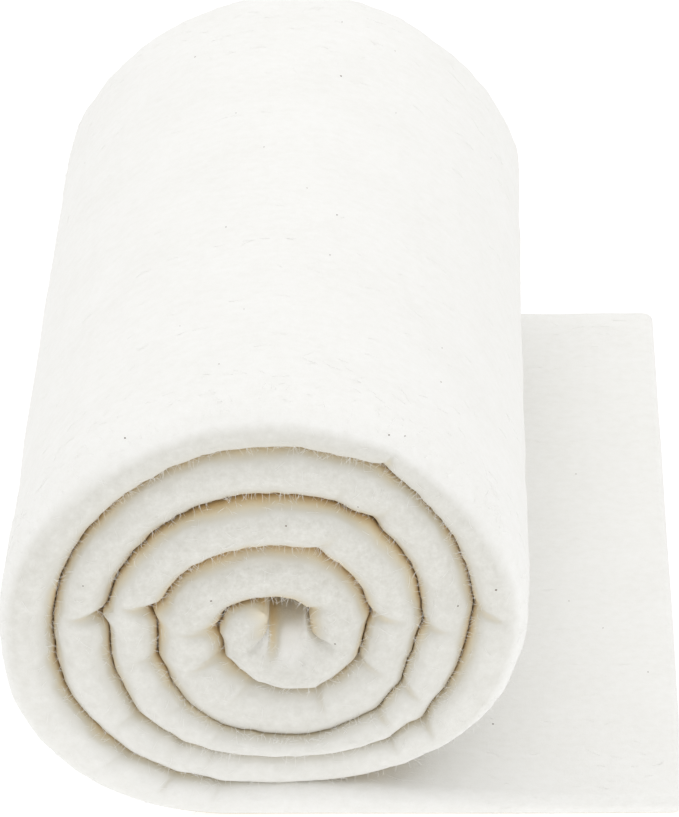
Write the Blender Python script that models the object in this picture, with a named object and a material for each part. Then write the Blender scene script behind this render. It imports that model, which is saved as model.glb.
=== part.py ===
"""A roll of cotton batting: one thick, soft sheet wound about four and a third turns, its outer end lying flat.

The sheet is one solid. Its section is a spiral of layers a little apart, worked out from the point that its outer
face reaches at each quarter turn. The section face is then extruded along the spiral, from the free end on the
floor to the inner end in the hollow middle. Metres, +Z up, the roll's length along Y, its free end towards +X.
"""

import math

import bmesh
import bpy
from mathutils import Vector

# Driving dimensions.
SHEET_WIDTH = 0.260  # the batting's cut width, which is the roll's length along Y
FREE_END_REACH = 0.1055  # from the roll's middle to the flat free end
FREE_END_THICKNESS = 0.0045  # the flat end, which isn't puffed up by the winding
LAYER_GAP = 0.0006  # between one turn and the next
RIM_ROUNDNESS = 0.46  # depth of the soft rounded edge, as a share of the layer's thickness
END_ROUNDING = 0.0040  # length over which the inner end rounds off
FREE_END_ROUNDING = 0.0016  # and the thinner free end
FREE_CORNER = 0.0036  # radius of the free end's two corners, seen from above
CORNER_STEPS = 6
THINNING_RUN = 0.075  # length of the flat end over which the sheet thins from its rolled thickness
BACK_SAG = 0.07  # the roll lies lower towards its back end, by this share of its height
INNER_END = 17.72  # quarter turns from the floor to the sheet's inner end
END_STEPS = (0.08, 0.03, 0.01)  # the last stations before it

# The sheet's outer face, clockwise as seen from the front: where it stands at each quarter turn, measured from the
# roll's middle and from the floor, and the fullness of the bend that leads there (2 is an ellipse, more is squarer).
# The inner face of a layer follows the outer face one turn further in, so the last rows are the hollow's wall.
QUARTER_TURNS = (
    # side, across, height, fullness
    ("floor", 0.0040, -0.0004, 2.0),
    ("left", -0.0655, 0.0578, 2.55),
    ("top", 0.0020, 0.1184, 2.05),
    ("right", 0.0655, 0.0583, 2.0),
    ("floor", 0.0040, 0.0089, 2.2),
    ("left", -0.0530, 0.0535, 2.2),
    ("top", 0.0040, 0.1037, 2.0),
    ("right", 0.0510, 0.0593, 1.85),
    ("floor", 0.0050, 0.0163, 2.25),
    ("left", -0.0393, 0.0545, 2.4),
    ("top", 0.0040, 0.0902, 2.0),
    ("right", 0.0383, 0.0574, 1.85),
    ("floor", 0.0060, 0.0231, 2.1),
    ("left", -0.0268, 0.0526, 2.1),
    ("top", 0.0020, 0.0755, 2.1),
    ("right", 0.0255, 0.0545, 2.1),
    ("floor", 0.0075, 0.0355, 2.1),
    ("left", -0.0108, 0.0516, 2.0),
    ("top", 0.0020, 0.0609, 2.8),
    ("right", 0.0112, 0.0507, 2.8),
    ("floor", 0.0065, 0.0434, 2.2),
    ("left", 0.0003, 0.0516, 2.2),
    ("top", 0.0040, 0.0593, 2.0),
)
QUARTERS_PER_TURN = 4
STEPS_PER_QUARTER = 10

# The main puckers: the inner side of a bend has too much cloth, so it buckles into a pocket at the roll's two ends.
PUCKERS = (
    # quarter turn, depth, half width along the sheet
    (2.50, 0.0025, 0.008),
    (3.02, 0.0035, 0.008),
    (5.05, 0.0040, 0.007),
    (6.20, 0.0030, 0.009),
    (7.45, 0.0025, 0.007),
    (8.95, 0.0050, 0.008),
    (10.95, 0.0030, 0.006),
    (12.55, 0.0030, 0.005),
    (13.05, 0.0035, 0.005),
    (14.90, 0.0025, 0.005),
)
PUCKER_FADE = 0.018  # how far a pucker reaches in from the roll's end

# The section across the sheet: a rounded rim at each end, and stations between them where the puckers fade.
RIM_ANGLES = [math.radians(a) for a in (-90, -60, -30, 0, 30, 60, 90)]
STATIONS_FROM_EDGE = (0.013, 0.030)

COTTON = (0.90, 0.89, 0.85, 1.0)  # natural, undyed
COTTON_ROUGHNESS = 0.95


def quarter_bend(count):
    """The outer face's point at a count of quarter turns from the floor, as (across, height)."""
    row = min(int(count), len(QUARTER_TURNS) - 2)
    turned = (count - row) * math.pi / 2
    side, x0, z0, _ = QUARTER_TURNS[row]
    _, x1, z1, fullness = QUARTER_TURNS[row + 1]
    centre = Vector((x0, z1)) if side in ("floor", "top") else Vector((x1, z0))
    start, end = Vector((x0, z0)) - centre, Vector((x1, z1)) - centre
    along, across = math.cos(turned), math.sin(turned)
    reach = ((along / start.length) ** fullness + (across / end.length) ** fullness) ** (-1 / fullness)
    point = centre + reach * (along * start.normalized() + across * end.normalized())
    return Vector((point.x, max(point.y, 0.0)))


def layer(count):
    """The layer's outer and inner points at a count of quarter turns."""
    outer, next_in = quarter_bend(count), quarter_bend(count + QUARTERS_PER_TURN)
    return outer, next_in + LAYER_GAP * (outer - next_in).normalized()


def flat_layer(across):
    """The same two points where the sheet lies flat on the floor, to the right of the roll's lowest point."""
    touch, top = layer(0.0)
    away = min((across - touch.x) / THINNING_RUN, 1.0)
    rolled = 1 - away * away * (3 - 2 * away)
    thickness = FREE_END_THICKNESS + rolled * (top.y - FREE_END_THICKNESS)
    return Vector((across, 0.0)), Vector((across, thickness))


def rounded(pair, from_end, rounding):
    """A layer's two points drawn together towards its end, so that the end is round."""
    share = math.sqrt(max(0.0, 1 - (1 - min(from_end / rounding, 1.0)) ** 2))
    middle = (pair[0] + pair[1]) / 2
    return middle + share * (pair[0] - middle), middle + share * (pair[1] - middle)


def flat_run():
    """Stations on the flat part, from the free end to the roll's lowest point. The underside stays on the floor."""
    start, stop = FREE_END_REACH, QUARTER_TURNS[0][1]
    turned = [math.pi / 2 * step / CORNER_STEPS for step in range(CORNER_STEPS + 1)]
    insets = [FREE_CORNER * (1 - math.cos(angle)) for angle in turned]
    cut_back = [FREE_CORNER * (1 - math.sin(angle)) for angle in turned]
    steps = STEPS_PER_QUARTER
    run = start - FREE_CORNER - stop
    insets += [FREE_CORNER + run * step / steps for step in range(1, steps)]
    cut_back += [0.0] * (steps - 1)
    for inset, narrower in zip(insets, cut_back):
        outer, inner = flat_layer(start - inset)
        share = math.sqrt(1 - (1 - min(inset / FREE_END_ROUNDING, 1.0)) ** 2)
        lowest = 0.35 + 0.65 * share
        yield 0.0, outer, outer + (inner - outer) * lowest, SHEET_WIDTH / 2 - narrower


def wound_run():
    """Stations around the spiral, from the roll's lowest point to the sheet's rounded inner end."""
    counts = [step / STEPS_PER_QUARTER for step in range(int(INNER_END * STEPS_PER_QUARTER))]
    tip = quarter_bend(INNER_END)
    for count in counts + [INNER_END - step for step in END_STEPS]:
        outer, inner = rounded(layer(count), (quarter_bend(count) - tip).length, END_ROUNDING)
        yield count, outer, inner, SHEET_WIDTH / 2


def pucker_depth(count, inner, from_edge):
    """How far the inner face is drawn in by the puckers, at a place on the sheet."""
    total = 0.0
    for at, depth, half_width in PUCKERS:
        if abs(count - at) < 1.0:
            away = (inner - layer(at)[1]).length / half_width
            total += depth * math.exp(-away * away)
    return total * math.exp(-((from_edge / PUCKER_FADE) ** 2))


def section(count, outer, inner, half):
    """One closed section of the sheet: up the front rim, along the outer face, round the back rim and home.

    Here half is half of the sheet's width at this place, and y counts from the middle towards the front end,
    which is at -Y.
    """
    rim = RIM_ROUNDNESS * (outer - inner).length
    front = [(angle, half - rim * (1 - math.cos(angle))) for angle in RIM_ANGLES]
    outer_side = [(math.pi / 2, half - inset) for inset in STATIONS_FROM_EDGE]
    outline = front + outer_side
    outline += [(angle, -y) for angle, y in reversed(outline)]
    outline += [(-math.pi / 2, -(half - inset)) for inset in STATIONS_FROM_EDGE]
    outline += [(-math.pi / 2, half - inset) for inset in reversed(STATIONS_FROM_EDGE)]
    points = []
    for angle, y in outline:
        depth = pucker_depth(count, inner, half - abs(y))
        near = inner + depth * (outer - inner).normalized()
        place = (outer + near) / 2 + (outer - near) / 2 * math.sin(angle)
        sunk = 1 - BACK_SAG * (0.5 - y / SHEET_WIDTH)
        points.append(Vector((place.x, -y, place.y * sunk)))
    return points


def extrude_along(sections):
    """A closed mesh: the first section as a face, extruded from each section to the next."""
    mesh = bpy.data.meshes.new("batting_roll")
    bm = bmesh.new()
    place = bm.verts.layers.int.new("place")
    first = [bm.verts.new(point) for point in sections[0]]
    for number, vertex in enumerate(first):
        vertex[place] = number
    face = bm.faces.new(first)
    for points in sections[1:]:
        made = bmesh.ops.extrude_face_region(bm, geom=[face])["geom"]
        if len(bm.faces) > len(first) + 2:
            bm.faces.remove(face)
        face = next(item for item in made if isinstance(item, bmesh.types.BMFace))
        for vertex in face.verts:
            vertex.co = points[vertex[place]]
    bm.verts.layers.int.remove(place)
    bmesh.ops.recalc_face_normals(bm, faces=bm.faces)
    bm.to_mesh(mesh)
    bm.free()
    return mesh


def batting_material():
    material = bpy.data.materials.new("natural_cotton_batting")
    material.use_nodes = True
    shader = material.node_tree.nodes["Principled BSDF"]
    shader.inputs["Base Color"].default_value = COTTON
    shader.inputs["Roughness"].default_value = COTTON_ROUGHNESS
    shader.inputs["Metallic"].default_value = 0.0
    return material


def main():
    for old in list(bpy.data.objects):
        bpy.data.objects.remove(old)
    collection = bpy.data.collections.new("cotton_batting")
    bpy.context.scene.collection.children.link(collection)

    sections = [section(*station) for station in flat_run()] + [section(*station) for station in wound_run()]
    roll = bpy.data.objects.new("batting_roll", extrude_along(sections))
    roll.data.materials.append(batting_material())
    roll.data.shade_smooth()
    roll.data.set_sharp_from_angle(angle=math.radians(50))
    collection.objects.link(roll)

    # The origin is below the middle of the whole piece, the free end included.
    roll_left = QUARTER_TURNS[1][1]
    roll.location.x = -(FREE_END_REACH + roll_left) / 2


main()
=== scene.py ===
# %% [markdown]
# # A roll of cotton batting
# Batting is the soft layer inside a quilt: cotton fibres laid loose and needled together into a
# thick, matte, slightly furry sheet. Here one sheet is wound up on a table, and its outer end is
# left lying flat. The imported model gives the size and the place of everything, so it is loaded
# first and its box is kept.

# %% Load the frame
import math

import bpy
import numpy as np
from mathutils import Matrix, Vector, noise


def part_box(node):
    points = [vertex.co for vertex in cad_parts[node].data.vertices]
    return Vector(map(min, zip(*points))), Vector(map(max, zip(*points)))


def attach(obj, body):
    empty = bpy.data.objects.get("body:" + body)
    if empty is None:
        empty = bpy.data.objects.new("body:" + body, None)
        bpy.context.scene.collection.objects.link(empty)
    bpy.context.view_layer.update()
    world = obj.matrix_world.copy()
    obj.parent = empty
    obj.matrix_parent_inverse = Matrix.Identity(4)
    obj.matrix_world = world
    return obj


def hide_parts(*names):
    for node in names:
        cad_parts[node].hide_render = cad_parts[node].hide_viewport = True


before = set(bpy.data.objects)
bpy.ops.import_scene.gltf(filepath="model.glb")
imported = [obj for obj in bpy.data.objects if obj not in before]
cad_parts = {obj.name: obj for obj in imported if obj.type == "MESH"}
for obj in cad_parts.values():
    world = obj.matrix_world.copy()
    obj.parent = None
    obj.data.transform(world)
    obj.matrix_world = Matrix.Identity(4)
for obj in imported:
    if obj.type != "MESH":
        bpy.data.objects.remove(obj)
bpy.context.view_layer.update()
low, high = (Vector(corner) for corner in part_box("batting_roll"))
MM = 0.001
print(len(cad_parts), "node; its box in mm:", [round(side / MM, 1) for side in high - low])

# %% [markdown]
# ## The camera
# The photograph looks down along the roll from far off with a long lens, so the sides of the roll
# run almost parallel and the wound end fills the lower left. A long lens far away gives that flat
# look; a short lens close by would make the near end far too large.

# %% Place the camera
PHOTO_WIDTH, PHOTO_HEIGHT = 679, 817  # pixels
ELEVATION = math.radians(29.0)  # above the table
TURN = math.radians(-0.89)  # away from the roll's own axis
DISTANCE = 1.562
FOCAL_PIXELS = 5850
SENSOR = 36.0
AIM_ASIDE, AIM_HEIGHT = -0.0033, 0.045
aim = Vector(((low.x + high.x) / 2 + AIM_ASIDE, 0.0, AIM_HEIGHT))


def look_along(turn, elevation):
    """The direction of view for a turn about the vertical and a height above the table."""
    level = math.cos(elevation)
    return Vector((math.sin(turn) * level, math.cos(turn) * level, -math.sin(elevation)))


lens = bpy.data.cameras.new("camera")
lens.sensor_fit = "VERTICAL"
lens.sensor_height = SENSOR
lens.lens = FOCAL_PIXELS * SENSOR / PHOTO_HEIGHT
lens.clip_end = 20.0
camera = bpy.data.objects.new("camera", lens)
bpy.context.scene.collection.objects.link(camera)
view_direction = look_along(TURN, ELEVATION)
camera.location = aim - DISTANCE * view_direction
camera.rotation_euler = view_direction.to_track_quat("-Z", "Y").to_euler()
bpy.context.scene.camera = camera
print("camera at", [round(c, 3) for c in camera.location], "lens", round(lens.lens), "mm")

# %% [markdown]
# ## Floor and light
# White cotton on white needs light from everywhere, or its shadows turn heavy. A pale world lights
# all sides. One long lamp lies across the roll, overhead and a little behind it: the top of the
# roll is brightest, both flanks get some, and the wound end, which faces away from the lamp, is a
# soft grey. The floor glows a little, like the lit sheet of a studio table, so that hardly any
# shadow is left on it.

# %% Make the floor
FLOOR_SIZE = 6.0
FLOOR_GREY = (0.40, 0.40, 0.40, 1)
FLOOR_GLOW = 0.72
WHITE = (1.0, 1.0, 1.0, 1)


def set_inputs(node, values):
    """Give a node's sockets their values, by name."""
    for name, value in values.items():
        node.inputs[name].default_value = value


def finish_with(piece, material):
    """Give a piece this material and no other."""
    piece.data.materials.clear()
    piece.data.materials.append(material)


bpy.ops.object.select_all(action="DESELECT")
bpy.ops.mesh.primitive_plane_add(size=FLOOR_SIZE, location=(0, 0, 0))
floor = bpy.context.object
floor.name = "floor"
floor_finish = bpy.data.materials.new("floor")
floor_finish.use_nodes = True
floor_shader = floor_finish.node_tree.nodes["Principled BSDF"]
set_inputs(floor_shader, {"Base Color": FLOOR_GREY, "Roughness": 0.9})
set_inputs(floor_shader, {"Emission Color": WHITE, "Emission Strength": FLOOR_GLOW})
finish_with(floor, floor_finish)
print("a floor of", FLOOR_SIZE, "m")

# %% Make the world and the lamps
WORLD_STRENGTH = 0.80
LAMPS_POINT_AT = Vector((0, 0, 0.05))
world = bpy.data.worlds.new("studio")
bpy.context.scene.world = world
world.use_nodes = True
set_inputs(world.node_tree.nodes["Background"], {"Color": WHITE, "Strength": WORLD_STRENGTH})


def soft_lamp(name, place, width, depth, watts):
    """A broad lamp that points at the roll."""
    light = bpy.data.lights.new(name, "AREA")
    light.shape = "RECTANGLE"
    light.size, light.size_y = width, depth
    light.energy = watts
    lamp = bpy.data.objects.new(name, light)
    lamp.location = place
    lamp.rotation_euler = (LAMPS_POINT_AT - lamp.location).to_track_quat("-Z", "Y").to_euler()
    bpy.context.scene.collection.objects.link(lamp)


soft_lamp("overhead_lamp", Vector((-0.05, 0.25, 1.30)), width=2.6, depth=0.9, watts=7.3)
soft_lamp("front_lamp", Vector((0.20, -1.30, 0.28)), width=0.9, depth=0.5, watts=1.7)
bpy.context.scene.view_settings.view_transform = "Standard"
print("world and lamps in place")

# %% [markdown]
# ## The sheet's sizes
# The sheet's outer face is described by where it stands at each quarter turn, because that is what
# can be seen and measured on a real roll: how wide and how high each turn is. A turn's inner face
# simply lies on the next turn in, with a hair's breadth between them. The solid has the same turns,
# drawn a little more simply: its gaps are wider, its cut edges are square to the roll and its inner
# turns stand up to 2 mm elsewhere.

# %% The driving sizes
SHEET_WIDTH = high.y - low.y
ROLL_HEIGHT = high.z - low.z
ROLL_MIDDLE = -0.0200  # left of the origin, because the flat end reaches far to the right
FREE_END_REACH = 0.1055
FREE_END_THICKNESS = 4.5 * MM
LAYER_GAP = 0.10 * MM  # the solid's turns stand 0.6 mm apart, and soft cotton closes that
INNER_END = 17.80  # where the sheet ends in the hollow, in quarter turns from the floor
QUARTERS_PER_TURN = 4
QUARTER_TURNS = np.array(
    [
        # across, height, fullness; rows go floor, left, top, right and round again
        (0.0040, -0.0004, 2.0),
        (-0.0655, 0.0578, 2.61),
        (0.0020, 0.1184, 1.93),
        (0.0655, 0.0583, 1.84),
        (0.0040, 0.0083, 2.2),
        (-0.0522, 0.0535, 2.2),
        (0.0062, 0.1058, 1.95),
        (0.0510, 0.0593, 1.85),
        (0.0050, 0.0176, 2.25),
        (-0.0384, 0.0545, 2.4),
        (0.0058, 0.0909, 2.0),
        (0.0383, 0.0574, 1.85),
        (0.0060, 0.0224, 2.1),
        (-0.0261, 0.0526, 2.1),
        (0.0030, 0.0770, 2.1),
        (0.0255, 0.0545, 1.95),
        (0.0075, 0.0366, 2.1),
        (-0.0096, 0.0516, 2.0),
        (0.0020, 0.0609, 2.8),
        (0.0112, 0.0507, 2.8),
        (0.0065, 0.0434, 2.2),
        (0.0003, 0.0516, 2.2),
        (0.0040, 0.0593, 2.0),
    ]
)
print(len(QUARTER_TURNS) - 1, "quarter turns described")


# %% The two faces of a layer
def outer_face(count):
    """Where the sheet's outer face is after a count of quarter turns, as (across, height)."""
    row = np.clip(count.astype(int), 0, len(QUARTER_TURNS) - 2)
    turned = (count - row) * math.pi / 2
    here, there = QUARTER_TURNS[row, :2], QUARTER_TURNS[row + 1, :2]
    fullness = QUARTER_TURNS[row + 1, 2]
    level_start = (row % 2 == 0)[:, None]
    centre = np.where(
        level_start,
        np.stack([here[:, 0], there[:, 1]], 1),
        np.stack([there[:, 0], here[:, 1]], 1),
    )
    start, end = here - centre, there - centre
    along = np.cos(turned) / np.linalg.norm(start, axis=1)
    across = np.sin(turned) / np.linalg.norm(end, axis=1)
    reach = (along ** fullness + across ** fullness) ** (-1 / fullness)
    point = centre + (reach * along)[:, None] * start + (reach * across)[:, None] * end
    point[:, 1] = np.maximum(point[:, 1], 0)
    return point


def layer(count):
    """The outer and inner faces of a layer at a count of quarter turns."""
    outer, next_in = outer_face(count), outer_face(count + QUARTERS_PER_TURN)
    between = outer - next_in
    return outer, next_in + LAYER_GAP * between / np.linalg.norm(between, axis=1)[:, None]


# Lengths along the middle of the sheet, so that it can be wound from a flat piece of known length.
COUNTS = np.linspace(0, INNER_END, 3000)
middles = sum(layer(COUNTS)) / 2
middle_steps = np.linalg.norm(np.diff(middles, axis=0), axis=1)
WOUND_LENGTHS = np.concatenate([[0], np.cumsum(middle_steps)])
FLAT_RUN = FREE_END_REACH - QUARTER_TURNS[0, 0]
SHEET_LENGTH = FLAT_RUN + WOUND_LENGTHS[-1]
print("before winding:", round(SHEET_WIDTH, 3), "by", round(SHEET_LENGTH, 3), "m")

# %% [markdown]
# ## Stations on the sheet
# A sheet with soft rounded edges is a flattened tube. Its section starts in the middle of the inner
# face, goes to the front edge, round the rim, back over the outer face, round the back rim and
# home. The rows crowd together near the front edge, where the eye looks, and thin out in the hidden
# middle.

# %% Rows across the sheet and steps along it
FRONT_ROWS = np.array([1.0, 2.2, 3.8, 6, 9, 13, 18, 25, 34, 46, 62, 80, 100]) * MM
BACK_ROWS = np.array([1.5, 3.5, 7, 12, 20, 32, 50, 75, 100]) * MM
RIM_STEPS = 12
STEP_ALONG = 1.05 * MM
CLOSE_STEPS = np.array([0, 0.03, 0.12, 0.3, 0.6, 1.0, 1.5, 2.1, 2.9, 3.8]) * MM
INNER, OUTER = -math.pi / 2, math.pi / 2  # the two faces, as angles round the section
FRONT, MIDDLE, BACK = -1, 0, 1

rim_angles = np.linspace(INNER, OUTER, RIM_STEPS + 1)
rows = [(INNER, 0, MIDDLE)]  # angle, how far in from the rim, and which end
rows += [(INNER, inset, FRONT) for inset in FRONT_ROWS[::-1]]
rows += [(angle, 0, FRONT) for angle in rim_angles]
rows += [(OUTER, inset, FRONT) for inset in FRONT_ROWS]
rows += [(OUTER, 0, MIDDLE)]
rows += [(OUTER, inset, BACK) for inset in BACK_ROWS[::-1]]
rows += [(angle, 0, BACK) for angle in rim_angles[::-1]]
rows += [(INNER, inset, BACK) for inset in BACK_ROWS]
rows += [rows[0]]
row_angle, row_inset, row_end = (np.array(column) for column in zip(*rows))

last_close = CLOSE_STEPS[-1]
middle_run = np.arange(last_close + STEP_ALONG, SHEET_LENGTH - last_close, STEP_ALONG)
steps_along = np.concatenate([CLOSE_STEPS, middle_run, SHEET_LENGTH - CLOSE_STEPS[::-1]])
print(len(steps_along), "steps along the sheet,", len(rows) - 1, "points round its section")

# %% [markdown]
# ## Winding the sheet
# The sheet starts as Blender's flat grid, one row of cells for each strip across it. Every point of
# that grid knows how far along the sheet and how far round the section it is. The next cells work
# out where all the points go, in arrays with one row for each step along the sheet and one column
# for each point round its section. First come the two plain faces, without a lump or a pucker.

# %% The plain winding
THINNING_RUN = 75 * MM
FREE_END_ROUNDING = 1.8 * MM
END_ROUNDING = 2.0 * MM
FLAT_QUARTER = 0.1  # the flat end has no turns, so this length of it counts as a quarter turn


def rising(values, start, run):
    """Nothing up to start, then evenly up to 1 over run."""
    return np.clip((values - start) / run, 0, 1)


def falling(values, end, run):
    """Evenly from 1 down to nothing, over a run that ends at end."""
    return np.clip((end - values) / run, 0, 1)


def layer_at_steps():
    """The count of quarter turns and the outer and inner faces, at every step along the sheet."""
    wound = steps_along > FLAT_RUN
    count = np.interp(steps_along - FLAT_RUN, WOUND_LENGTHS, COUNTS)
    outer, inner = layer(count)
    across = FREE_END_REACH - steps_along
    away = rising(across, QUARTER_TURNS[0, 0], THINNING_RUN)
    rolled = 1 - away * away * (3 - 2 * away)
    thickness = FREE_END_THICKNESS + rolled * (inner[0, 1] - FREE_END_THICKNESS)
    flat_outer = np.stack([across, np.zeros_like(across)], 1)
    flat_inner = np.stack([across, thickness], 1)
    outer = np.where(wound[:, None], outer, flat_outer)
    inner = np.where(wound[:, None], inner, flat_inner)
    from_tip = np.minimum(steps_along / FREE_END_ROUNDING, 1)
    from_inner_end = np.minimum((SHEET_LENGTH - steps_along) / END_ROUNDING, 1)
    share = np.sqrt(1 - (1 - from_tip) ** 2) * np.sqrt(1 - (1 - from_inner_end) ** 2)
    middle = (outer + inner) / 2
    outer = middle + share[:, None] * (outer - middle)
    inner = middle + share[:, None] * (inner - middle)
    return np.where(wound, count, (steps_along - FLAT_RUN) / FLAT_QUARTER), outer, inner


count, outer, inner = layer_at_steps()
through = outer - inner
thickness = np.linalg.norm(through, axis=1)
outward = through / np.maximum(thickness, 1e-9)[:, None]
wound = rising(count, 0, 0.5)
print("half of the sheet is thicker than", round(float(np.median(thickness)) / MM, 1), "mm")

# %% [markdown]
# ## Round edges
# A thick felt doesn't keep a square edge where it is cut. It rounds off towards both faces, and how
# round it is changes on the way round the roll. On the outermost turn the top front edge is very
# round and leans back, and under the roll, where a layer is pressed onto the one below, it stays
# squarer. The flat end's two corners are rounded in plan too.

# %% Shape the rims
RIM_SHAPES = np.array(
    [
        # quarter turn; roundness towards the outer face and the inner face, as shares of the
        # thickness; where the rim stands furthest out, and where its grey, partly painted shade,
        # ends, both from -1, the inner face, to 1, the outer face
        (-0.5, 0.20, 0.60, 0.00, 1.2),
        (0.3, 0.20, 0.60, 0.00, 1.2),
        (1.0, 0.30, 0.50, -0.10, 0.8),
        (1.5, 0.85, 0.40, -0.45, 0.15),
        (2.0, 1.00, 0.35, -0.60, -0.05),
        (2.5, 0.85, 0.40, -0.45, 0.1),
        (3.0, 0.36, 0.50, -0.10, 0.5),
        (4.0, 0.50, 0.52, 0.00, 1.2),
        (11.0, 0.50, 0.52, 0.00, 1.2),
        (11.5, 0.32, 0.52, 0.00, 1.2),
        (12.5, 0.26, 0.52, 0.00, 1.2),
        (13.0, 0.50, 0.52, 0.00, 1.2),
        (17.0, 0.55, 0.52, 0.00, 1.2),
    ]
)
COVERED_FROM, COVERED_RUN = 3.4, 0.4  # quarter turns, from where another turn lies outside
SQUARER_BELOW = 0.35  # how much of its roundness a rim that faces the table loses
FREE_CORNER = 3.6 * MM

angle, inset, end = row_angle[None, :], row_inset[None, :], row_end[None, :]
outer_side, inner_side = np.sin(angle) > 0, np.sin(angle) < 0
outer_rim, inner_rim, rim_front, grey_and_shade_end = (
    np.interp(count, RIM_SHAPES[:, 0], column)[:, None] for column in RIM_SHAPES[:, 1:].T
)
facing_down = np.clip(-outward[:, None, 1], 0, 1)
pressed = facing_down * rising(count, COVERED_FROM, COVERED_RUN)[:, None]
outer_rim = outer_rim * (1 - SQUARER_BELOW * pressed ** 2)
rim = np.where(outer_side, outer_rim, inner_rim) * thickness[:, None]
up_the_rim = rim_front + np.where(outer_side, 1 - rim_front, 1 + rim_front) * np.sin(angle)
up_the_face = (up_the_rim + 1) / 2
from_edge = np.where(end == MIDDLE, SHEET_WIDTH / 2, rim * (1 - np.cos(angle)) + inset)
in_corner = falling(steps_along, FREE_CORNER, FREE_CORNER)
narrower = (FREE_CORNER * (1 - np.sqrt(1 - in_corner ** 2)))[:, None]
print("the deepest rim in mm:", round(float(rim.max()) / MM, 1))

# %% [markdown]
# ## Puckers and creases
# When a thick sheet is wound, the inner side of each bend has too much cloth. It buckles, and on
# the cut end each buckle shows as a dark pocket on the layer's inner side, from which a crease runs
# out over the face. The main ones are listed, in quarter turns from the floor. Smaller ones
# come from a noise along the sheet.

# %% The table of puckers
PUCKERS = np.array(
    [
        # quarter turn, pocket depth mm, half width mm, crease depth mm, crease slant mm
        (0.20, 0.5, 3.0, 0.6, 1.0),
        (0.36, 0.7, 2.5, 0.7, -1.0),
        (0.52, 0.6, 3.0, 0.5, 0.0),
        (2.33, 1.6, 6.0, 1.2, 5.0),
        (3.02, 0.7, 3.0, 1.4, 3.0),
        (3.48, 1.2, 2.5, 0.9, 1.0),
        (3.62, 1.2, 2.0, 0.6, -1.0),
        (4.28, 0.4, 3.0, 0.5, 0.0),
        (4.42, 0.5, 2.0, 0.4, 0.5),
        (4.62, 0.5, 2.5, 0.6, 0.0),
        (5.04, 3.0, 1.9, 1.5, -0.5),
        (6.22, 1.0, 6.0, 0.6, 2.0),
        (6.42, 1.6, 4.0, 0.8, 2.0),
        (7.08, 1.2, 2.6, 1.1, 2.0),
        (7.40, 1.1, 2.5, 1.1, 1.5),
        (7.58, 1.0, 2.0, 1.0, -1.0),
        (8.34, 0.3, 3.0, 0.5, 0.0),
        (8.58, 0.4, 3.0, 0.5, 0.5),
        (8.86, 0.9, 3.0, 0.7, -1.0),
        (9.12, 3.4, 2.4, 1.6, -1.5),
        (10.27, 1.5, 3.0, 0.9, 2.0),
        (10.97, 1.2, 2.6, 1.5, 4.0),
        (11.40, 1.1, 2.0, 1.0, 0.5),
        (11.82, 1.0, 1.8, 0.9, -1.0),
        (12.40, 0.6, 2.5, 0.6, 0.5),
        (12.78, 1.2, 2.2, 1.3, -3.0),
        (13.05, 2.0, 2.2, 1.2, -2.0),
        (14.62, 1.6, 2.0, 0.8, 1.0),
        (15.20, 2.2, 1.6, 1.3, 1.0),
        (16.80, 1.8, 1.4, 1.2, 0.5),
    ]
)
pucker_at = np.interp(PUCKERS[:, 0], COUNTS, WOUND_LENGTHS) + FLAT_RUN
pocket_depth, pocket_half_width, crease_depth, crease_slant = PUCKERS[:, 1:].T * MM
print(len(PUCKERS), "puckers placed by hand")

# %% [markdown]
# A pocket is deepest at the sheet's edges and fades on the way in. The next turn in swells up into
# it, as soft cotton does, and so the gap between the two stays thin.

# %% Press the pockets in
PUCKER_FADE = 15 * MM  # how far a pocket reaches in from the sheet's edge
DEEPEST_POCKET = 0.55  # as a share of the thickness
FILLING = 0.70  # how much of a pocket the next turn in fills
GIVING_WAY = 1.15  # how far it gives way where a pocket is turned inside out
RIPPLES = ((10 * MM, 3, 0.35 * MM), (3 * MM, 4, 0.40 * MM))  # length, seed, height


def smooth_noise(points, scale, seed):
    """Blender's gradient noise at each point, for lumps of about the given size."""
    shift = Vector((seed * 7.3, seed * 3.1, seed * 11.9))
    return np.array([noise.noise(Vector(point) / scale + shift) for point in points])


def along_noise(scale, seed):
    """A noise that only changes along the sheet, one value for each step."""
    return smooth_noise([(s, seed * 0.37, 0) for s in steps_along], scale, seed)


def waves_along(kinds):
    """Noises along the sheet, added up."""
    return sum(along_noise(scale, seed) * height for scale, seed, height in kinds)


def fading(distance, reach, power=2):
    """A soft fall from 1 at no distance, past about a third at reach, to nothing."""
    return np.exp(-((distance / reach) ** power))


offset = steps_along[:, None] - pucker_at
pocket = (pocket_depth * fading(offset, pocket_half_width)).sum(1)
pocket = np.minimum(pocket + waves_along(RIPPLES) * wound, DEEPEST_POCKET * thickness)
turn_outside = np.interp(count - QUARTERS_PER_TURN, count, pocket)
swelling = np.where(count > QUARTERS_PER_TURN, turn_outside, 0)
swelling *= np.where(swelling > 0, FILLING, GIVING_WAY)
near_the_cut = fading(from_edge, PUCKER_FADE)
print("the deepest pocket in mm:", round(float(pocket.max()) / MM, 1))

# %% [markdown]
# The hollow in the middle doesn't run through as an open pipe. A little way in, the innermost
# turn's floor swells up and nearly closes it, and a furrow is left between that swelling and the
# sheet's inner end.

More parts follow.
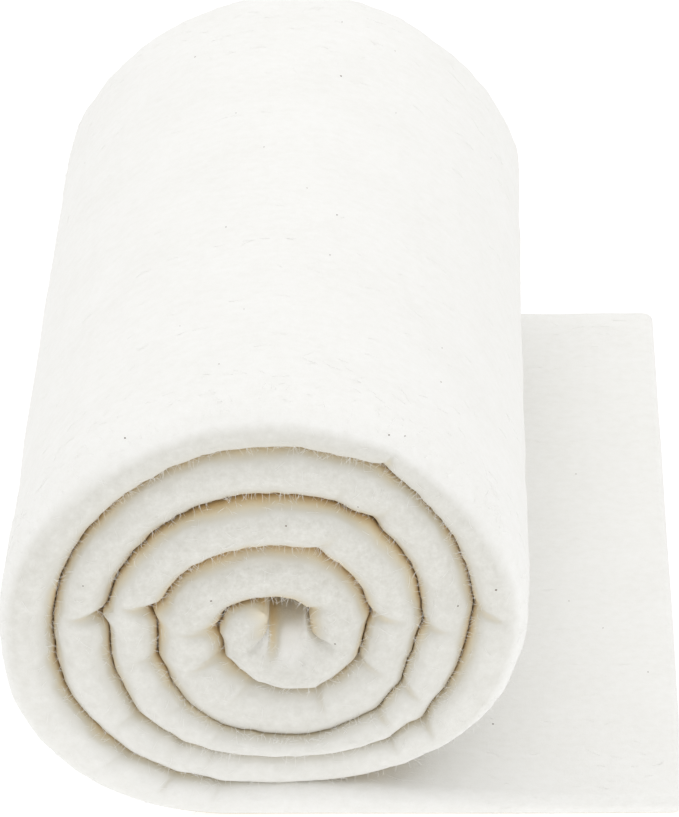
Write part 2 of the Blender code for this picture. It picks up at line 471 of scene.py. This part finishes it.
# %% Swell the innermost turn
BULGE_HEIGHT = 13 * MM
BULGE_RUN = 8 * MM
LEANING_RUN = 2 * MM
BULGE_ONSET = 1.3  # the power in its soft start
BULGE_SHAPE = np.array(
    [
        # quarter turn, share of the bulge's height, how far the cloth leans to the right in mm
        (15.00, 0.00, 0.0),
        (15.20, 0.35, 0.0),
        (15.50, 1.00, 0.0),
        (16.10, 1.00, 0.0),
        (16.35, 0.82, 0.0),
        (16.50, 0.70, 0.2),
        (16.80, 0.42, 0.8),
        (17.10, 0.00, 1.0),
        (17.60, 0.00, 0.8),
        (17.80, 0.00, 0.0),
    ]
)
FURROW_AT, FURROW_WIDTH = 16.38, 0.17

bulge, leaning = (
    np.interp(count, BULGE_SHAPE[:, 0], column)[:, None] * inner_side
    for column in BULGE_SHAPE[:, 1:].T
)
risen = bulge * BULGE_HEIGHT * (1 - fading(from_edge, BULGE_RUN, BULGE_ONSET))
leaning = leaning * MM * (1 - fading(from_edge, LEANING_RUN, BULGE_ONSET))
furrow = fading(count - FURROW_AT, FURROW_WIDTH)[:, None] * inner_side
print("the swelling rises", round(float(risen.max()) / MM, 1), "mm")

# %% [markdown]
# Now the sheet's two faces are known with their pockets and swellings. Every point of a section is
# put at its share of the way from the inner face to the outer one, and at its distance from the
# cut.

# %% Place every point across the roll
away_from_core = outward[:, None, :]
far = outer[:, None, :] + (swelling[:, None] * near_the_cut)[:, :, None] * away_from_core
inward = (pocket[:, None] * near_the_cut)[:, :, None] * away_from_core
near = inner[:, None, :] + (inward + np.stack([leaning, risen], 2))
section = (far + near) / 2 + (far - near) / 2 * up_the_rim[:, :, None]
across, height = section[:, :, 0], section[:, :, 1]
y = np.where(end == MIDDLE, 0.0, end * (SHEET_WIDTH / 2 - narrower - from_edge))
print(across.size, "points placed")

# %% [markdown]
# From each pocket a crease runs out over the rim, a little aslant. It is wide and deep at the inner
# face, and ends just short of the outer one.

# %% Run the creases out over the rim
CREASE_WIDTH = 0.8 * MM
WIDER_INSIDE = 0.6  # it is this share wider at the inner face
CREASE_REACH = 6 * MM

crease_width = CREASE_WIDTH * (1 + WIDER_INSIDE * (1 - up_the_face))
to_outer_face = np.clip(1.15 - 1.35 * up_the_face, 0, 1)
crease = np.zeros_like(from_edge)
for at, depth, slant in zip(pucker_at, crease_depth, crease_slant):
    away = steps_along[:, None] - at - slant * up_the_face
    crease += depth * fading(away, crease_width) * to_outer_face
crease *= fading(from_edge, CREASE_REACH)
print("the deepest crease in mm:", round(float(crease.max()) / MM, 1))

# %% [markdown]
# ## Uneven ends and a tapering back
# The cut edges aren't quite square to the roll, and each turn stands a little further out or in
# than its neighbours. Towards the back the roll is lower, a little slimmer on its left, and rounder
# at its shoulders, as its outline in the photograph shows.

# %% Make the cut edges uneven
CUT_PLACES = np.array([-65, 0, 105]) * MM  # places across from the roll's middle
FRONT_CUT = np.array([-2.6, -0.6, 2.2]) * MM  # how far the front edge is pushed back there
BACK_CUT = np.array([0.0, 0.0, 4.2]) * MM  # and the back edge
EDGE_WAVES = ((45 * MM, 5, 2.2 * MM), (14 * MM, 6, 0.7 * MM))  # length, seed, height
EDGE_WAVE_REACH = 25 * MM

edge_wave = waves_along(EDGE_WAVES) * fading(1 - wound, 0.5)
y_push = -end * (crease + edge_wave[:, None] * fading(from_edge, EDGE_WAVE_REACH))
front_line = np.where(end == FRONT, np.interp(across, CUT_PLACES, FRONT_CUT), 0)
back_line = np.where(end == BACK, np.interp(across, CUT_PLACES, BACK_CUT), 0)
y = y + y_push + front_line + back_line
print("the ends reach", round(float(y.min()), 4), "and", round(float(y.max()), 4))

# %% Draw the roll in towards its back
BACK_SAG = 0.07
BACK_SLIMMING = 0.045
BACK_SHOULDER = 0.035
SHOULDER_FROM, SHOULDER_RUN = 0.5, 0.3  # shares of the roll's height

towards_back = 0.5 + y / SHEET_WIDTH
across = across * np.where(across < 0, 1 - BACK_SLIMMING * towards_back, 1)
shoulder = rising(height / ROLL_HEIGHT, SHOULDER_FROM, SHOULDER_RUN)
across = across * (1 - BACK_SHOULDER * towards_back * shoulder)
height = height * (1 - BACK_SAG * towards_back)
spots = np.stack([across + ROLL_MIDDLE, y, height], 2)

# The way out of the surface at each point, for small lumps and fibres.
round_the_rim = np.where(np.isclose(np.abs(angle), OUTER), 0.0, np.cos(angle))
facing = np.stack(
    [
        outward[:, None, 0] * np.sin(angle),
        end * round_the_rim * np.ones_like(from_edge),
        outward[:, None, 1] * np.sin(angle),
    ],
    2,
)
print("the roll before its lumps is", round(float(height.max()), 4), "m high")

# %% [markdown]
# ## Where it is dark and where it is grey
# Two values are worked out for every point, and the cotton's material reads them later. One is
# painted
# shade: how deep in a gap or crease the point is, from 0 in the open to 1 in the dark. The other
# says how much it belongs to the cut edge, whose felt of cut fibres is greyer than the sheet's two
# faces;
# that grey carries painted shade too.

# %% Paint shade into the gaps and creases
GAP_DEPTH = 8 * MM  # a gap is at its darkest from here on
DEEPER_BELOW = 0.35  # it is this share deeper where the sheet faces the table
LIP_REACH, LIP_DARKNESS = 14 * MM, 0.18
CREASE_FULL, CREASE_DARKNESS = 4 * MM, 0.25
# painted shade beside each pocket: how deep a pocket gives it in full, its width and darkness
POCKET_SHADE_FULL, POCKET_SHADE_WIDTH, POCKET_SHADE_DARKNESS = 2.5 * MM, 1.2, 0.30
SHADE_SPREAD_SIZE, SHADE_SPREAD_SEED, SHADE_SPREAD_CONTRAST = 7 * MM, 12, 1.4
UNSHADED_SHARE, SHADE_SPREAD_SHARE = 0.20, 0.14  # this much of the rim stays unshaded, less where the painted shade spreads
OUTER_FROM, OUTER_RUN = 3.55, 0.25  # quarter turns, from where the outer face is covered
INNER_RUN, INNER_TO, INNER_LAST_RUN = 0.3, INNER_END - 3.9, 0.2  # and where the inner face is

shade_spread = np.clip(0.5 + SHADE_SPREAD_CONTRAST * along_noise(SHADE_SPREAD_SIZE, SHADE_SPREAD_SEED), 0, 1)[:, None]
depth_in = from_edge - rim * (UNSHADED_SHARE - SHADE_SPREAD_SHARE * shade_spread)
outer_covered = rising(count, OUTER_FROM, OUTER_RUN)[:, None]
inner_covered = rising(count, 0, INNER_RUN) * falling(count, INNER_TO, INNER_LAST_RUN)
inner_covered = inner_covered[:, None]
covered = np.where(outer_side, outer_covered, inner_covered)
crevice = covered * np.clip(depth_in / (GAP_DEPTH * (1 + DEEPER_BELOW * facing_down)), 0, 1)


def darken(amount):
    """Each point's painted shade as it is, or this amount where that is more."""
    return np.maximum(crevice, amount)


# Painted shade on the lips of the gaps, in the creases, and beside each pocket, all towards the
# inner face.
near_lip = falling(up_the_rim, -0.25, 0.75) * falling(from_edge, LIP_REACH, LIP_REACH)
crevice = darken(LIP_DARKNESS * near_lip * np.abs(end) * covered)
crevice = darken(np.clip(crease / CREASE_FULL, 0, CREASE_DARKNESS) * covered)
pocket_shade = fading(offset, POCKET_SHADE_WIDTH * pocket_half_width) * np.clip(pocket_depth / POCKET_SHADE_FULL, 0, 1)
pocket_shade = pocket_shade.max(1)[:, None] * np.clip(0.9 - 1.5 * up_the_face, 0, 1)
crevice = darken(POCKET_SHADE_DARKNESS * pocket_shade * covered)
print("share of points in a gap or crease:", round(float((crevice > 0.2).mean()), 2))

# %% [markdown]
# Little light gets into the hollow, so its walls get painted shade, darker inwards, most of all in
# the valleys beside the swelling. The sheet's inner end gets that painted shade too. Where the
# outermost turn comes down to the table, its lower edge gets a painted shadow as well.

# %% Paint shade into the hollow and a shadow onto the foot of the roll
END_RUN, END_DARKNESS = 0.45, 0.34  # the sheet's inner end, in quarter turns
LIMB_FROM, LIMB_RUN, LIMB_DARKNESS = 16.75, 0.3, 0.40
SWELLING_TO = 16  # past here only the furrow is a valley
VALLEY_FULL, VALLEY_DARKNESS = 10 * MM, 0.45
HOLLOW_FROM, HOLLOW_FULL, HOLLOW_DARKNESS = 6 * MM, 22 * MM, 0.20
FOOT_END, FOOT_RUN, FOOT_DARKNESS = 0.35, 0.2, 0.60

# Painted shade on the sheet's inner end, on the limb's side and on the hollow's walls.
near_its_end = rising(count, INNER_END - END_RUN, END_RUN)[:, None]
limb_side = rising(count, LIMB_FROM, LIMB_RUN)[:, None] * np.clip(-up_the_rim - 0.15, 0, 1)
crevice = darken(END_DARKNESS * near_its_end)
crevice = darken(LIMB_DARKNESS * limb_side)
in_hollow = rising(count, INNER_END - QUARTERS_PER_TURN, 0.2)[:, None] * inner_side
valley = np.maximum((1 - bulge) * (count < SWELLING_TO)[:, None], furrow)
valley = valley * np.clip(from_edge / VALLEY_FULL, 0, VALLEY_DARKNESS)
far_in = np.clip((from_edge - HOLLOW_FROM) / HOLLOW_FULL, 0, HOLLOW_DARKNESS)
crevice = darken(in_hollow * (valley + far_in))
# Painted shadow along the lower edge where the outermost turn meets the table.
foot = (up_the_rim > 0.95) & (inset == 0) & (end != MIDDLE)
crevice = darken(FOOT_DARKNESS * foot * falling(count, FOOT_END, FOOT_RUN)[:, None])
print("share of points shaded now:", round(float((crevice > 0.2).mean()), 2))

# %% [markdown]
# The grey goes from almost nothing on the flat end to full on the turns that are wound up. It is
# partly the cut felt's own tone and partly painted shade: stronger high up on the roll and towards
# its middle, and fading out towards the rim's outer face.

# %% Grey the cut edge, partly with painted shade
FLAT_GREY, ROLL_GREY = 0.10, 0.30  # on the flat end, and what the roll adds to it
SHADE_WITH_HEIGHT, SHADE_WITH_HEIGHT_TO = 0.62, 0.6  # painted shade: more grey with height, up to this share of the roll's
SHADE_INWARDS = 0.26  # and more painted shade from turn to turn inwards
GREY_REACH = 0.65  # how far round the rim it goes, as a share of the rim's depth
GREY_SOFTNESS = 0.4  # of its end towards the outer face

cut = np.clip(1.2 - from_edge / (GREY_REACH * rim + 0.1 * MM), 0, 1) * np.abs(end)
cut *= np.clip((grey_and_shade_end - up_the_rim) / GREY_SOFTNESS + 0.5, 0, 1)
shade_with_height = SHADE_WITH_HEIGHT * np.clip(height / ROLL_HEIGHT, 0, SHADE_WITH_HEIGHT_TO)
shade_with_turns = SHADE_INWARDS * count[:, None] / INNER_END
cut *= FLAT_GREY + (ROLL_GREY + shade_with_height + shade_with_turns) * rising(count, 0, 0.9)[:, None]
print("the greyest point of the cut edge:", round(float(cut.max()), 2))

# %% [markdown]
# ## The mesh
# The grid is added with Blender's operator and its points are sent to their places. Soft lumps go
# on top: a slow drift that carries neighbouring layers with it, and small ones along the surface.
# The two long seams are merged, so the sheet is one closed body. Its UV map is kept in real
# lengths: U along the sheet, V round the section.

# %% Make the sheet
DRIFTS = ((55 * MM, 20, 0.8 * MM), (22 * MM, 30, 0.5 * MM))  # size, first seed, height
LUMPS = ((9 * MM, 41, 0.35 * MM), (3.5 * MM, 42, 0.22 * MM), (1.6 * MM, 43, 0.10 * MM))
STEADY_HEIGHT = 12 * MM  # on the floor nothing drifts, and from here up all of it does

bpy.ops.object.select_all(action="DESELECT")
bpy.ops.mesh.primitive_grid_add(
    x_subdivisions=len(steps_along) - 1, y_subdivisions=len(rows) - 1, size=1
)
sheet = bpy.context.object
sheet.name = "batting_sheet"

grid = np.empty(len(sheet.data.vertices) * 3)
sheet.data.vertices.foreach_get("co", grid)
grid = grid.reshape(-1, 3)
step_number = np.rint((grid[:, 0] + 0.5) * (len(steps_along) - 1)).astype(int)
row_number = np.rint((grid[:, 1] + 0.5) * (len(rows) - 1)).astype(int)
points = spots[step_number, row_number]
ways_out = facing[step_number, row_number]

off_floor = np.clip(points[:, 2] / STEADY_HEIGHT, 0, 1)
for axis in range(3):
    drift = sum(smooth_noise(points, size, seed + axis) * rise for size, seed, rise in DRIFTS)
    points[:, axis] += drift * off_floor
lumps = sum(smooth_noise(points, size, seed) * rise for size, seed, rise in LUMPS)
in_the_open = 1 - np.clip(3 * crevice[step_number, row_number], 0, 1)
points += ways_out * (lumps * (0.2 + 0.8 * off_floor) * in_the_open)[:, None]
points[:, 2] = np.maximum(points[:, 2], 0)
sheet.data.vertices.foreach_set("co", points.ravel())
print(len(points), "points sent to their places")

# %% Keep its UV map in real lengths, merge its seams and pass on the two values
ON_THE_ROLL = 400  # a step well up the roll, where the section is measured

uv = sheet.data.uv_layers[0]
corners = np.empty(len(sheet.data.loops) * 2)
uv.data.foreach_get("uv", corners)
corners = corners.reshape(-1, 2)
between_rows = np.linalg.norm(np.diff(spots[ON_THE_ROLL], axis=0), axis=1)
girth = np.concatenate([[0], np.cumsum(between_rows)])
for column, lengths in enumerate((steps_along, girth)):
    numbers = np.arange(len(lengths))
    corners[:, column] = np.interp(corners[:, column] * numbers[-1], numbers, lengths)
uv.data.foreach_set("uv", corners.ravel())

for name, values in (("crevice", crevice), ("cut_edge", cut)):
    shade = sheet.data.attributes.new(name, "FLOAT", "POINT")
    shade.data.foreach_set("value", values[step_number, row_number].astype(np.float32))

bpy.ops.object.mode_set(mode="EDIT")
bpy.ops.mesh.select_all(action="SELECT")
bpy.ops.mesh.remove_doubles(threshold=1e-7)
bpy.ops.mesh.normals_make_consistent(inside=False)
bpy.ops.object.mode_set(mode="OBJECT")
bpy.ops.object.shade_smooth()
print("batting sheet:", len(sheet.data.polygons) * 2, "triangles")

# %% [markdown]
# ## Stray fibres
# Nothing shows cotton's softness like the loose fibres that stand off its edges. Each one is a
# short bent thread that starts in the surface and lifts off it. Most grow on the cut edges and some
# reach across the gaps between the turns. They are drawn as one curve object with a round bevel and
# then turned into a mesh.

# %% Grow the stray fibres
FIBRE_RADIUS = 0.05 * MM
FIBRE_JOINTS = 5
BEND = 0.22  # as a share of a fibre's length
CURL = (0.3, 1.0)  # from a plain lift to an arch that comes down again
dice = np.random.default_rng(7)
placed = np.empty_like(spots)
placed[step_number, row_number] = points
edge_angle = np.degrees(row_angle)


def pick(number, step_mask, row_mask):
    """Random grid points, with the directions along the sheet, out of it and across both."""
    step = dice.choice(np.flatnonzero(step_mask), number)
    row = dice.choice(np.flatnonzero(row_mask), number)
    along = placed[step + 1, row] - placed[step - 1, row]
    out = facing[step, row]
    along = along / np.linalg.norm(along, axis=1)[:, None]
    return placed[step, row], along, out, np.cross(out, along)


def fibres_from(start, along, out, side, spread, length, lift, one_way=False):
    """Bent threads, turned by about spread degrees; their lengths and lifts are ranges in mm."""
    number = len(start)
    turn = np.radians(dice.normal(0, spread, number))[:, None]
    heading = np.cos(turn) * along + np.sin(turn) * side
    sideways = np.cos(turn) * side - np.sin(turn) * along
    long = dice.uniform(*np.array(length) * MM, number)[:, None]
    if not one_way:
        long = long * dice.choice([-1, 1], number)[:, None]
    rise = dice.uniform(*np.array(lift) * MM, number)[:, None]
    bend = dice.normal(0, BEND, number)[:, None] * np.abs(long)
    curl = dice.uniform(*CURL, number)[:, None]
    joints = []
    for t in np.linspace(0, 1, FIBRE_JOINTS):
        up = rise * np.sin(math.pi * t * curl) - FIBRE_RADIUS
        joints.append(start + heading * long * t + sideways * bend * t * t + out * up)
    return np.stack(joints, 1)


every_step = np.arange(len(steps_along))
inside = (every_step > len(CLOSE_STEPS)) & (every_step < len(steps_along) - len(CLOSE_STEPS) - 1)
wound_steps = inside & (count > 0.2)
flat_steps = inside & (count <= 0.2)
outermost_steps = inside & (count > 0.5) & (count < 3.8)
front_rim = (row_end == FRONT) & (row_inset == 0)
back_rim = (row_end == BACK) & (row_inset == 0)
lips = front_rim & (edge_angle < -35) & (edge_angle > -80)
outer_lips = front_rim & (edge_angle > 35) & (edge_angle < 80)
outer_skin = (edge_angle > 89) & (row_inset > 2 * MM)
upper_skin = (edge_angle < -89) & (row_inset > 1 * MM)

FIBRES = (
    # how many, where, spread in degrees, range of lengths and range of lifts in mm
    (650, wound_steps, front_rim, 60, (1.2, 3.6), (0.15, 0.70)),
    (320, wound_steps, back_rim, 60, (1.2, 3.6), (0.15, 0.70)),
    (420, outermost_steps, outer_skin, 25, (2, 5), (0.1, 0.4)),
    (160, flat_steps, upper_skin, 25, (2, 5), (0.1, 0.35)),
    (70, flat_steps, front_rim | back_rim, 60, (1, 3), (0.1, 0.4)),
)
threads = [
    fibres_from(*pick(number, steps, rims), spread, length, lift)
    for number, steps, rims, spread, length, lift in FIBRES
]
print(sum(len(group) for group in threads), "fibres on the edges and the skin")

# %% Let fibres reach across the gaps
LEANING_OUT = -0.35  # towards the front
GAP_SPREAD, GAP_LENGTHS, GAP_LIFTS = 40, (0.7, 2.4), (0.1, 0.4)  # degrees, mm, mm
for lip, number in ((lips, 1300), (outer_lips, 500)):
    start, along, out, _ = pick(number, wound_steps, lip)
    across_the_gap = np.cross(along, (0.0, -1.0, 0.0))
    across_the_gap *= np.sign((across_the_gap * out).sum(1))[:, None]
    across_the_gap[:, 1] = LEANING_OUT
    kind = GAP_SPREAD, GAP_LENGTHS, GAP_LIFTS
    threads.append(fibres_from(start, across_the_gap, out, along, *kind, one_way=True))
threads = np.concatenate(threads)
threads[:, :, 2] = np.maximum(threads[:, :, 2], FIBRE_RADIUS)

bpy.ops.object.select_all(action="DESELECT")
bpy.ops.curve.primitive_bezier_curve_add(location=(0, 0, 0))
fibres = bpy.context.object
fibres.name = "stray_fibres"
fibres.data.splines.clear()
for thread in threads:
    spline = fibres.data.splines.new("POLY")
    spline.points.add(FIBRE_JOINTS - 1)
    spline.points.foreach_set("co", np.hstack([thread, np.ones((FIBRE_JOINTS, 1))]).ravel())
    spline.points.foreach_set("radius", np.linspace(1.0, 0.5, FIBRE_JOINTS))
fibres.data.bevel_depth = FIBRE_RADIUS
fibres.data.bevel_resolution = 0
bpy.ops.object.convert(target="MESH")
fibres = bpy.context.object
bpy.ops.object.shade_smooth()
triangles = sum(len(face.vertices) - 2 for face in fibres.data.polygons)
print(len(threads), "stray fibres,", triangles, "triangles")

# %% [markdown]
# ## Seed flecks
# Natural batting keeps specks of the cotton's seed hulls. Those that the photograph shows are put
# where the camera sees them: a line of view through the picture is cast onto the sheet. The sides
# that it doesn't show get a few too.

# %% Find the flecks' places
FLECKS_SEEN = (
    # right and down in the photograph in pixels, radius in mm
    (195, 57, 0.30), (341, 76, 0.32), (236, 113, 0.22), (264, 147, 0.26), (226, 227, 0.24),
    (330, 255, 0.24), (307, 188, 0.20), (219, 364, 0.26), (244, 309, 0.18), (180, 326, 0.16),
    (442, 348, 0.20), (441, 382, 0.22), (342, 22, 0.20), (395, 51, 0.18), (491, 158, 0.18),
    (396, 113, 0.18), (85, 163, 0.16), (125, 438, 0.26), (389, 435, 0.26), (405, 436, 0.20),
    (83, 586, 0.22), (286, 526, 0.30), (358, 507, 0.24), (211, 601, 0.28), (496, 590, 0.30),
    (458, 606, 0.26), (493, 724, 0.30), (335, 644, 0.22), (576, 474, 0.20), (569, 601, 0.22),
    (603, 628, 0.20), (648, 672, 0.20),
)
FLECKS_BEHIND = 34
SIZES_BEHIND = (0.16, 0.32)  # radius in mm
bpy.context.view_layer.update()


def seen_at(right, down):
    """Where the line of view through a place in the picture meets the sheet, and its way out."""
    aside = (right - PHOTO_WIDTH / 2) / FOCAL_PIXELS
    up = (PHOTO_HEIGHT / 2 - down) / FOCAL_PIXELS
    ray = camera.matrix_world.to_3x3() @ Vector((aside, up, -1.0))
    met, spot, out, _ = sheet.ray_cast(camera.location, ray.normalized())
    return (spot, out) if met else None


fleck_places = [(seen_at(right, down), size) for right, down, size in FLECKS_SEEN]
fleck_places = [(*found, size) for found, size in fleck_places if found]
print(len(fleck_places), "flecks in the photograph's view")

for number in range(FLECKS_BEHIND):
    steps, rims = (wound_steps, back_rim) if number % 3 == 0 else (inside, outer_skin)
    spot, _, out, _ = pick(1, steps, rims)
    if spot[0][2] > 1 * MM:
        fleck_places.append((Vector(spot[0]), Vector(out[0]), dice.uniform(*SIZES_BEHIND)))

# %% Make the flecks
LENGTHENING, NARROWING, FLATTENING = (0.7, 1.5), 0.8, 0.35  # a fleck is a flat chip
flecks = []
for spot, out, size in fleck_places:
    bpy.ops.mesh.primitive_ico_sphere_add(subdivisions=1, radius=size * MM, location=spot)
    fleck = bpy.context.object
    fleck.rotation_euler = out.to_track_quat("Z", "Y").to_euler()
    fleck.scale = (dice.uniform(*LENGTHENING), NARROWING, FLATTENING)
    flecks.append(fleck)
bpy.ops.object.select_all(action="DESELECT")
for fleck in flecks:
    fleck.select_set(True)
bpy.context.view_layer.objects.active = flecks[0]
bpy.ops.object.join()
bpy.ops.object.transform_apply(location=True, rotation=True, scale=True)
seed_flecks = bpy.context.object
seed_flecks.name = "seed_flecks"
print(len(flecks), "seed flecks")

# %% [markdown]
# ## Shader sums
# A material is a graph of small nodes. The class below wraps one output of that graph, so that sums
# can be written as sums: each operator adds a Math node, and `make` adds any other kind.

# %% A class for shader sums
class Wire:
    """One output socket of a material's node tree."""

    def __init__(self, tree, socket):
        self.tree, self.socket = tree, socket

    def make(self, kind, settings=None, inputs=None, output=0):
        """Another node, with its settings, and its sockets' values or wires."""
        node = self.tree.nodes.new(kind)
        for name, value in (settings or {}).items():
            if name == "stops":
                set_stops(node.color_ramp, value)
            else:
                setattr(node, name, value)
        for name, value in (inputs or {}).items():
            if isinstance(value, Wire):
                self.tree.links.new(value.socket, node.inputs[name])
            else:
                node.inputs[name].default_value = value
        return Wire(self.tree, node.outputs[output])

    def math(self, operation, first, second):
        return self.make("ShaderNodeMath", {"operation": operation}, {0: first, 1: second})

    def __add__(self, other):
        return self.math("ADD", self, other)

    def __radd__(self, other):
        return self.math("ADD", other, self)

    def __sub__(self, other):
        return self.math("SUBTRACT", self, other)

    def __rsub__(self, other):
        return self.math("SUBTRACT", other, self)

    def __mul__(self, other):
        return self.math("MULTIPLY", self, other)

    def __rmul__(self, other):
        return self.math("MULTIPLY", other, self)

    def clamped(self):
        return self.make("ShaderNodeClamp", {}, {0: self, 1: 0.0, 2: 1.0})

    def smooth_step(self, start, end):
        """Nothing up to start, then softly up to 1 at end."""
        settings = {"interpolation_type": "SMOOTHSTEP"}
        return self.make("ShaderNodeMapRange", settings, {0: self, 1: start, 2: end})

    def attribute(self, name):
        return self.make("ShaderNodeAttribute", {"attribute_name": name}, {}, output=2)

    def noise(self, scale, detail=2.0, roughness=0.5):
        """A noise on this vector, with features of 1 / scale metres, from 0 to 1."""
        values = {"Vector": self, "Scale": scale, "Detail": detail, "Roughness": roughness}
        return self.make("ShaderNodeTexNoise", {}, values)

    def stretched(self, x, y, z):
        """This vector with each direction multiplied."""
        settings = {"vector_type": "POINT"}
        return self.make("ShaderNodeMapping", settings, {"Vector": self, "Scale": (x, y, z)})

    def ramp(self, *stops):
        return self.make("ShaderNodeValToRGB", {"stops": stops}, {0: self})

    def mixed(self, first, second):
        """The colours first and second, mixed by this value."""
        settings = {"data_type": "RGBA", "blend_type": "MIX", "clamp_factor": True}
        return self.make("ShaderNodeMix", settings, {0: self, 6: first, 7: second}, output=2)


def set_stops(ramp, stops):
    """Give a colour ramp its stops, each a place and a colour."""
    while len(ramp.elements) < len(stops):
        ramp.elements.new(0.5)
    for element, (position, colour) in zip(ramp.elements, stops):
        element.position = position
        element.color = colour


def new_material(name):
    """A material, its Principled shader, its Object coordinates and its UV map."""
    material = bpy.data.materials.new(name)
    material.use_nodes = True
    tree = material.node_tree
    shader = tree.nodes["Principled BSDF"]
    places = tree.nodes.new("ShaderNodeTexCoord")
    return material, shader, Wire(tree, places.outputs["Object"]), Wire(tree, places.outputs["UV"])


def feed(wire, shader, socket):
    """Link a sum into one of the shader's sockets."""
    wire.tree.links.new(wire.socket, shader.inputs[socket])


print("shader sums ready")

# %% [markdown]
# ## The cotton's finish
# Undyed cotton is a warm white. Up close it is a felt of fine fibres, with faint wrinkles along the
# sheet where the needles pulled it together, and slow blotches where it is thicker or thinner. The
# cut edge is greyer and more mottled, partly in its own tone and partly with painted shade. In the
# gaps, creases and hollow, shade is painted into the colour: greyer at the lips, then tan, then
# brown.

# %% Make the batting material
NATURAL_WHITE = (0.875, 0.870, 0.843, 1)
THIN_SPOT = (0.845, 0.838, 0.805, 1)
BRIGHT_FIBRE = (0.900, 0.896, 0.875, 1)
# The cut edge's greys, partly its own tone and partly painted shade.
CUT_WHITE = (0.675, 0.664, 0.612, 1)
CUT_SHADE = (0.615, 0.602, 0.545, 1)
CUT_FIBRE = (0.740, 0.730, 0.682, 1)
# Colours of the painted shade in the gaps, creases and hollow.
LIP_SHADE = (0.645, 0.627, 0.562, 1)
GAP_TAN_SHADE = (0.725, 0.650, 0.488, 1)
GAP_BROWN_SHADE = (0.690, 0.520, 0.270, 1)

batting, shader, place, flat_place = new_material("cotton_batting")
felt = place.noise(2600, 4, 0.62)
clumps = place.noise(420, 3, 0.6)
blotches = place.noise(45, 2, 0.5)
mottle = place.noise(900, 3, 0.7)
wrinkles = flat_place.stretched(150, 420, 1).noise(1.0, 2, 0.55)
gap_shade = place.attribute("crevice")
cut_edge = place.attribute("cut_edge")

tone = 0.30 * felt + 0.34 * clumps + 0.20 * blotches + 0.16 * wrinkles
face = tone.ramp((0.36, THIN_SPOT), (0.50, NATURAL_WHITE), (0.64, BRIGHT_FIBRE))
cut_tone = 0.55 * mottle + 0.45 * clumps
cut_face = cut_tone.ramp((0.36, CUT_SHADE), (0.50, CUT_WHITE), (0.64, CUT_FIBRE))
ragged_cut = (cut_edge + (mottle - 0.5) * 2.4 * cut_edge * (1.0 - cut_edge)).clamped()
ragged_gap_shade = (gap_shade + (clumps - 0.5) * 0.5 * gap_shade).clamped()
colour = ragged_cut.mixed(face, cut_face)
# Painted shade by the crevice value: greyer at the lips, then tan, then brown deep in the gaps.
colour = ragged_gap_shade.smooth_step(0.0, 0.20).mixed(colour, LIP_SHADE)
colour = ragged_gap_shade.smooth_step(0.06, 0.42).mixed(colour, GAP_TAN_SHADE)
colour = ragged_gap_shade.smooth_step(0.25, 0.75).mixed(colour, GAP_BROWN_SHADE)
feed(colour, shader, "Base Color")
feed(0.92 + 0.08 * felt, shader, "Roughness")

fuzz = 0.3 * felt + (0.3 + 0.4 * cut_edge) * clumps + 0.30 * wrinkles
bump = fuzz.make("ShaderNodeBump", {}, {"Strength": 0.5, "Distance": 0.5 * MM, "Height": fuzz})
feed(bump, shader, "Normal")
set_inputs(shader, {"Specular IOR Level": 0.15, "Sheen Weight": 0.12, "Sheen Roughness": 0.6})
finish_with(sheet, batting)
print("cotton batting finish made")

# %% [markdown]
# The loose fibres are the same cotton, clean and bright. The flecks are dull brown hull.

# %% Make the fibre and fleck finishes
HULL_DARK = (0.075, 0.055, 0.035, 1)
HULL_PALE = (0.20, 0.15, 0.10, 1)


def speckled(name, noise_scale, stops, roughness):
    """A matte finish whose colour goes through a ramp with a noise."""
    material, shader, place, _ = new_material(name)
    feed(place.noise(noise_scale).ramp(*stops), shader, "Base Color")
    set_inputs(shader, {"Roughness": roughness})
    return material


loose = speckled("loose_cotton_fibre", 300, ((0.35, NATURAL_WHITE), (0.65, BRIGHT_FIBRE)), 0.75)
hull = speckled("seed_hull", 1500, ((0.4, HULL_DARK), (0.6, HULL_PALE)), 0.7)
finish_with(fibres, loose)
finish_with(seed_flecks, hull)
print("fibre and fleck finishes made")

# %% [markdown]
# Nothing on the roll moves, so all three pieces ride on its one body. The sheet stands in for the
# plain solid.

for piece in (sheet, fibres, seed_flecks):
    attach(piece, "root")
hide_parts("batting_roll")
print("the sheet stands in for the solid")
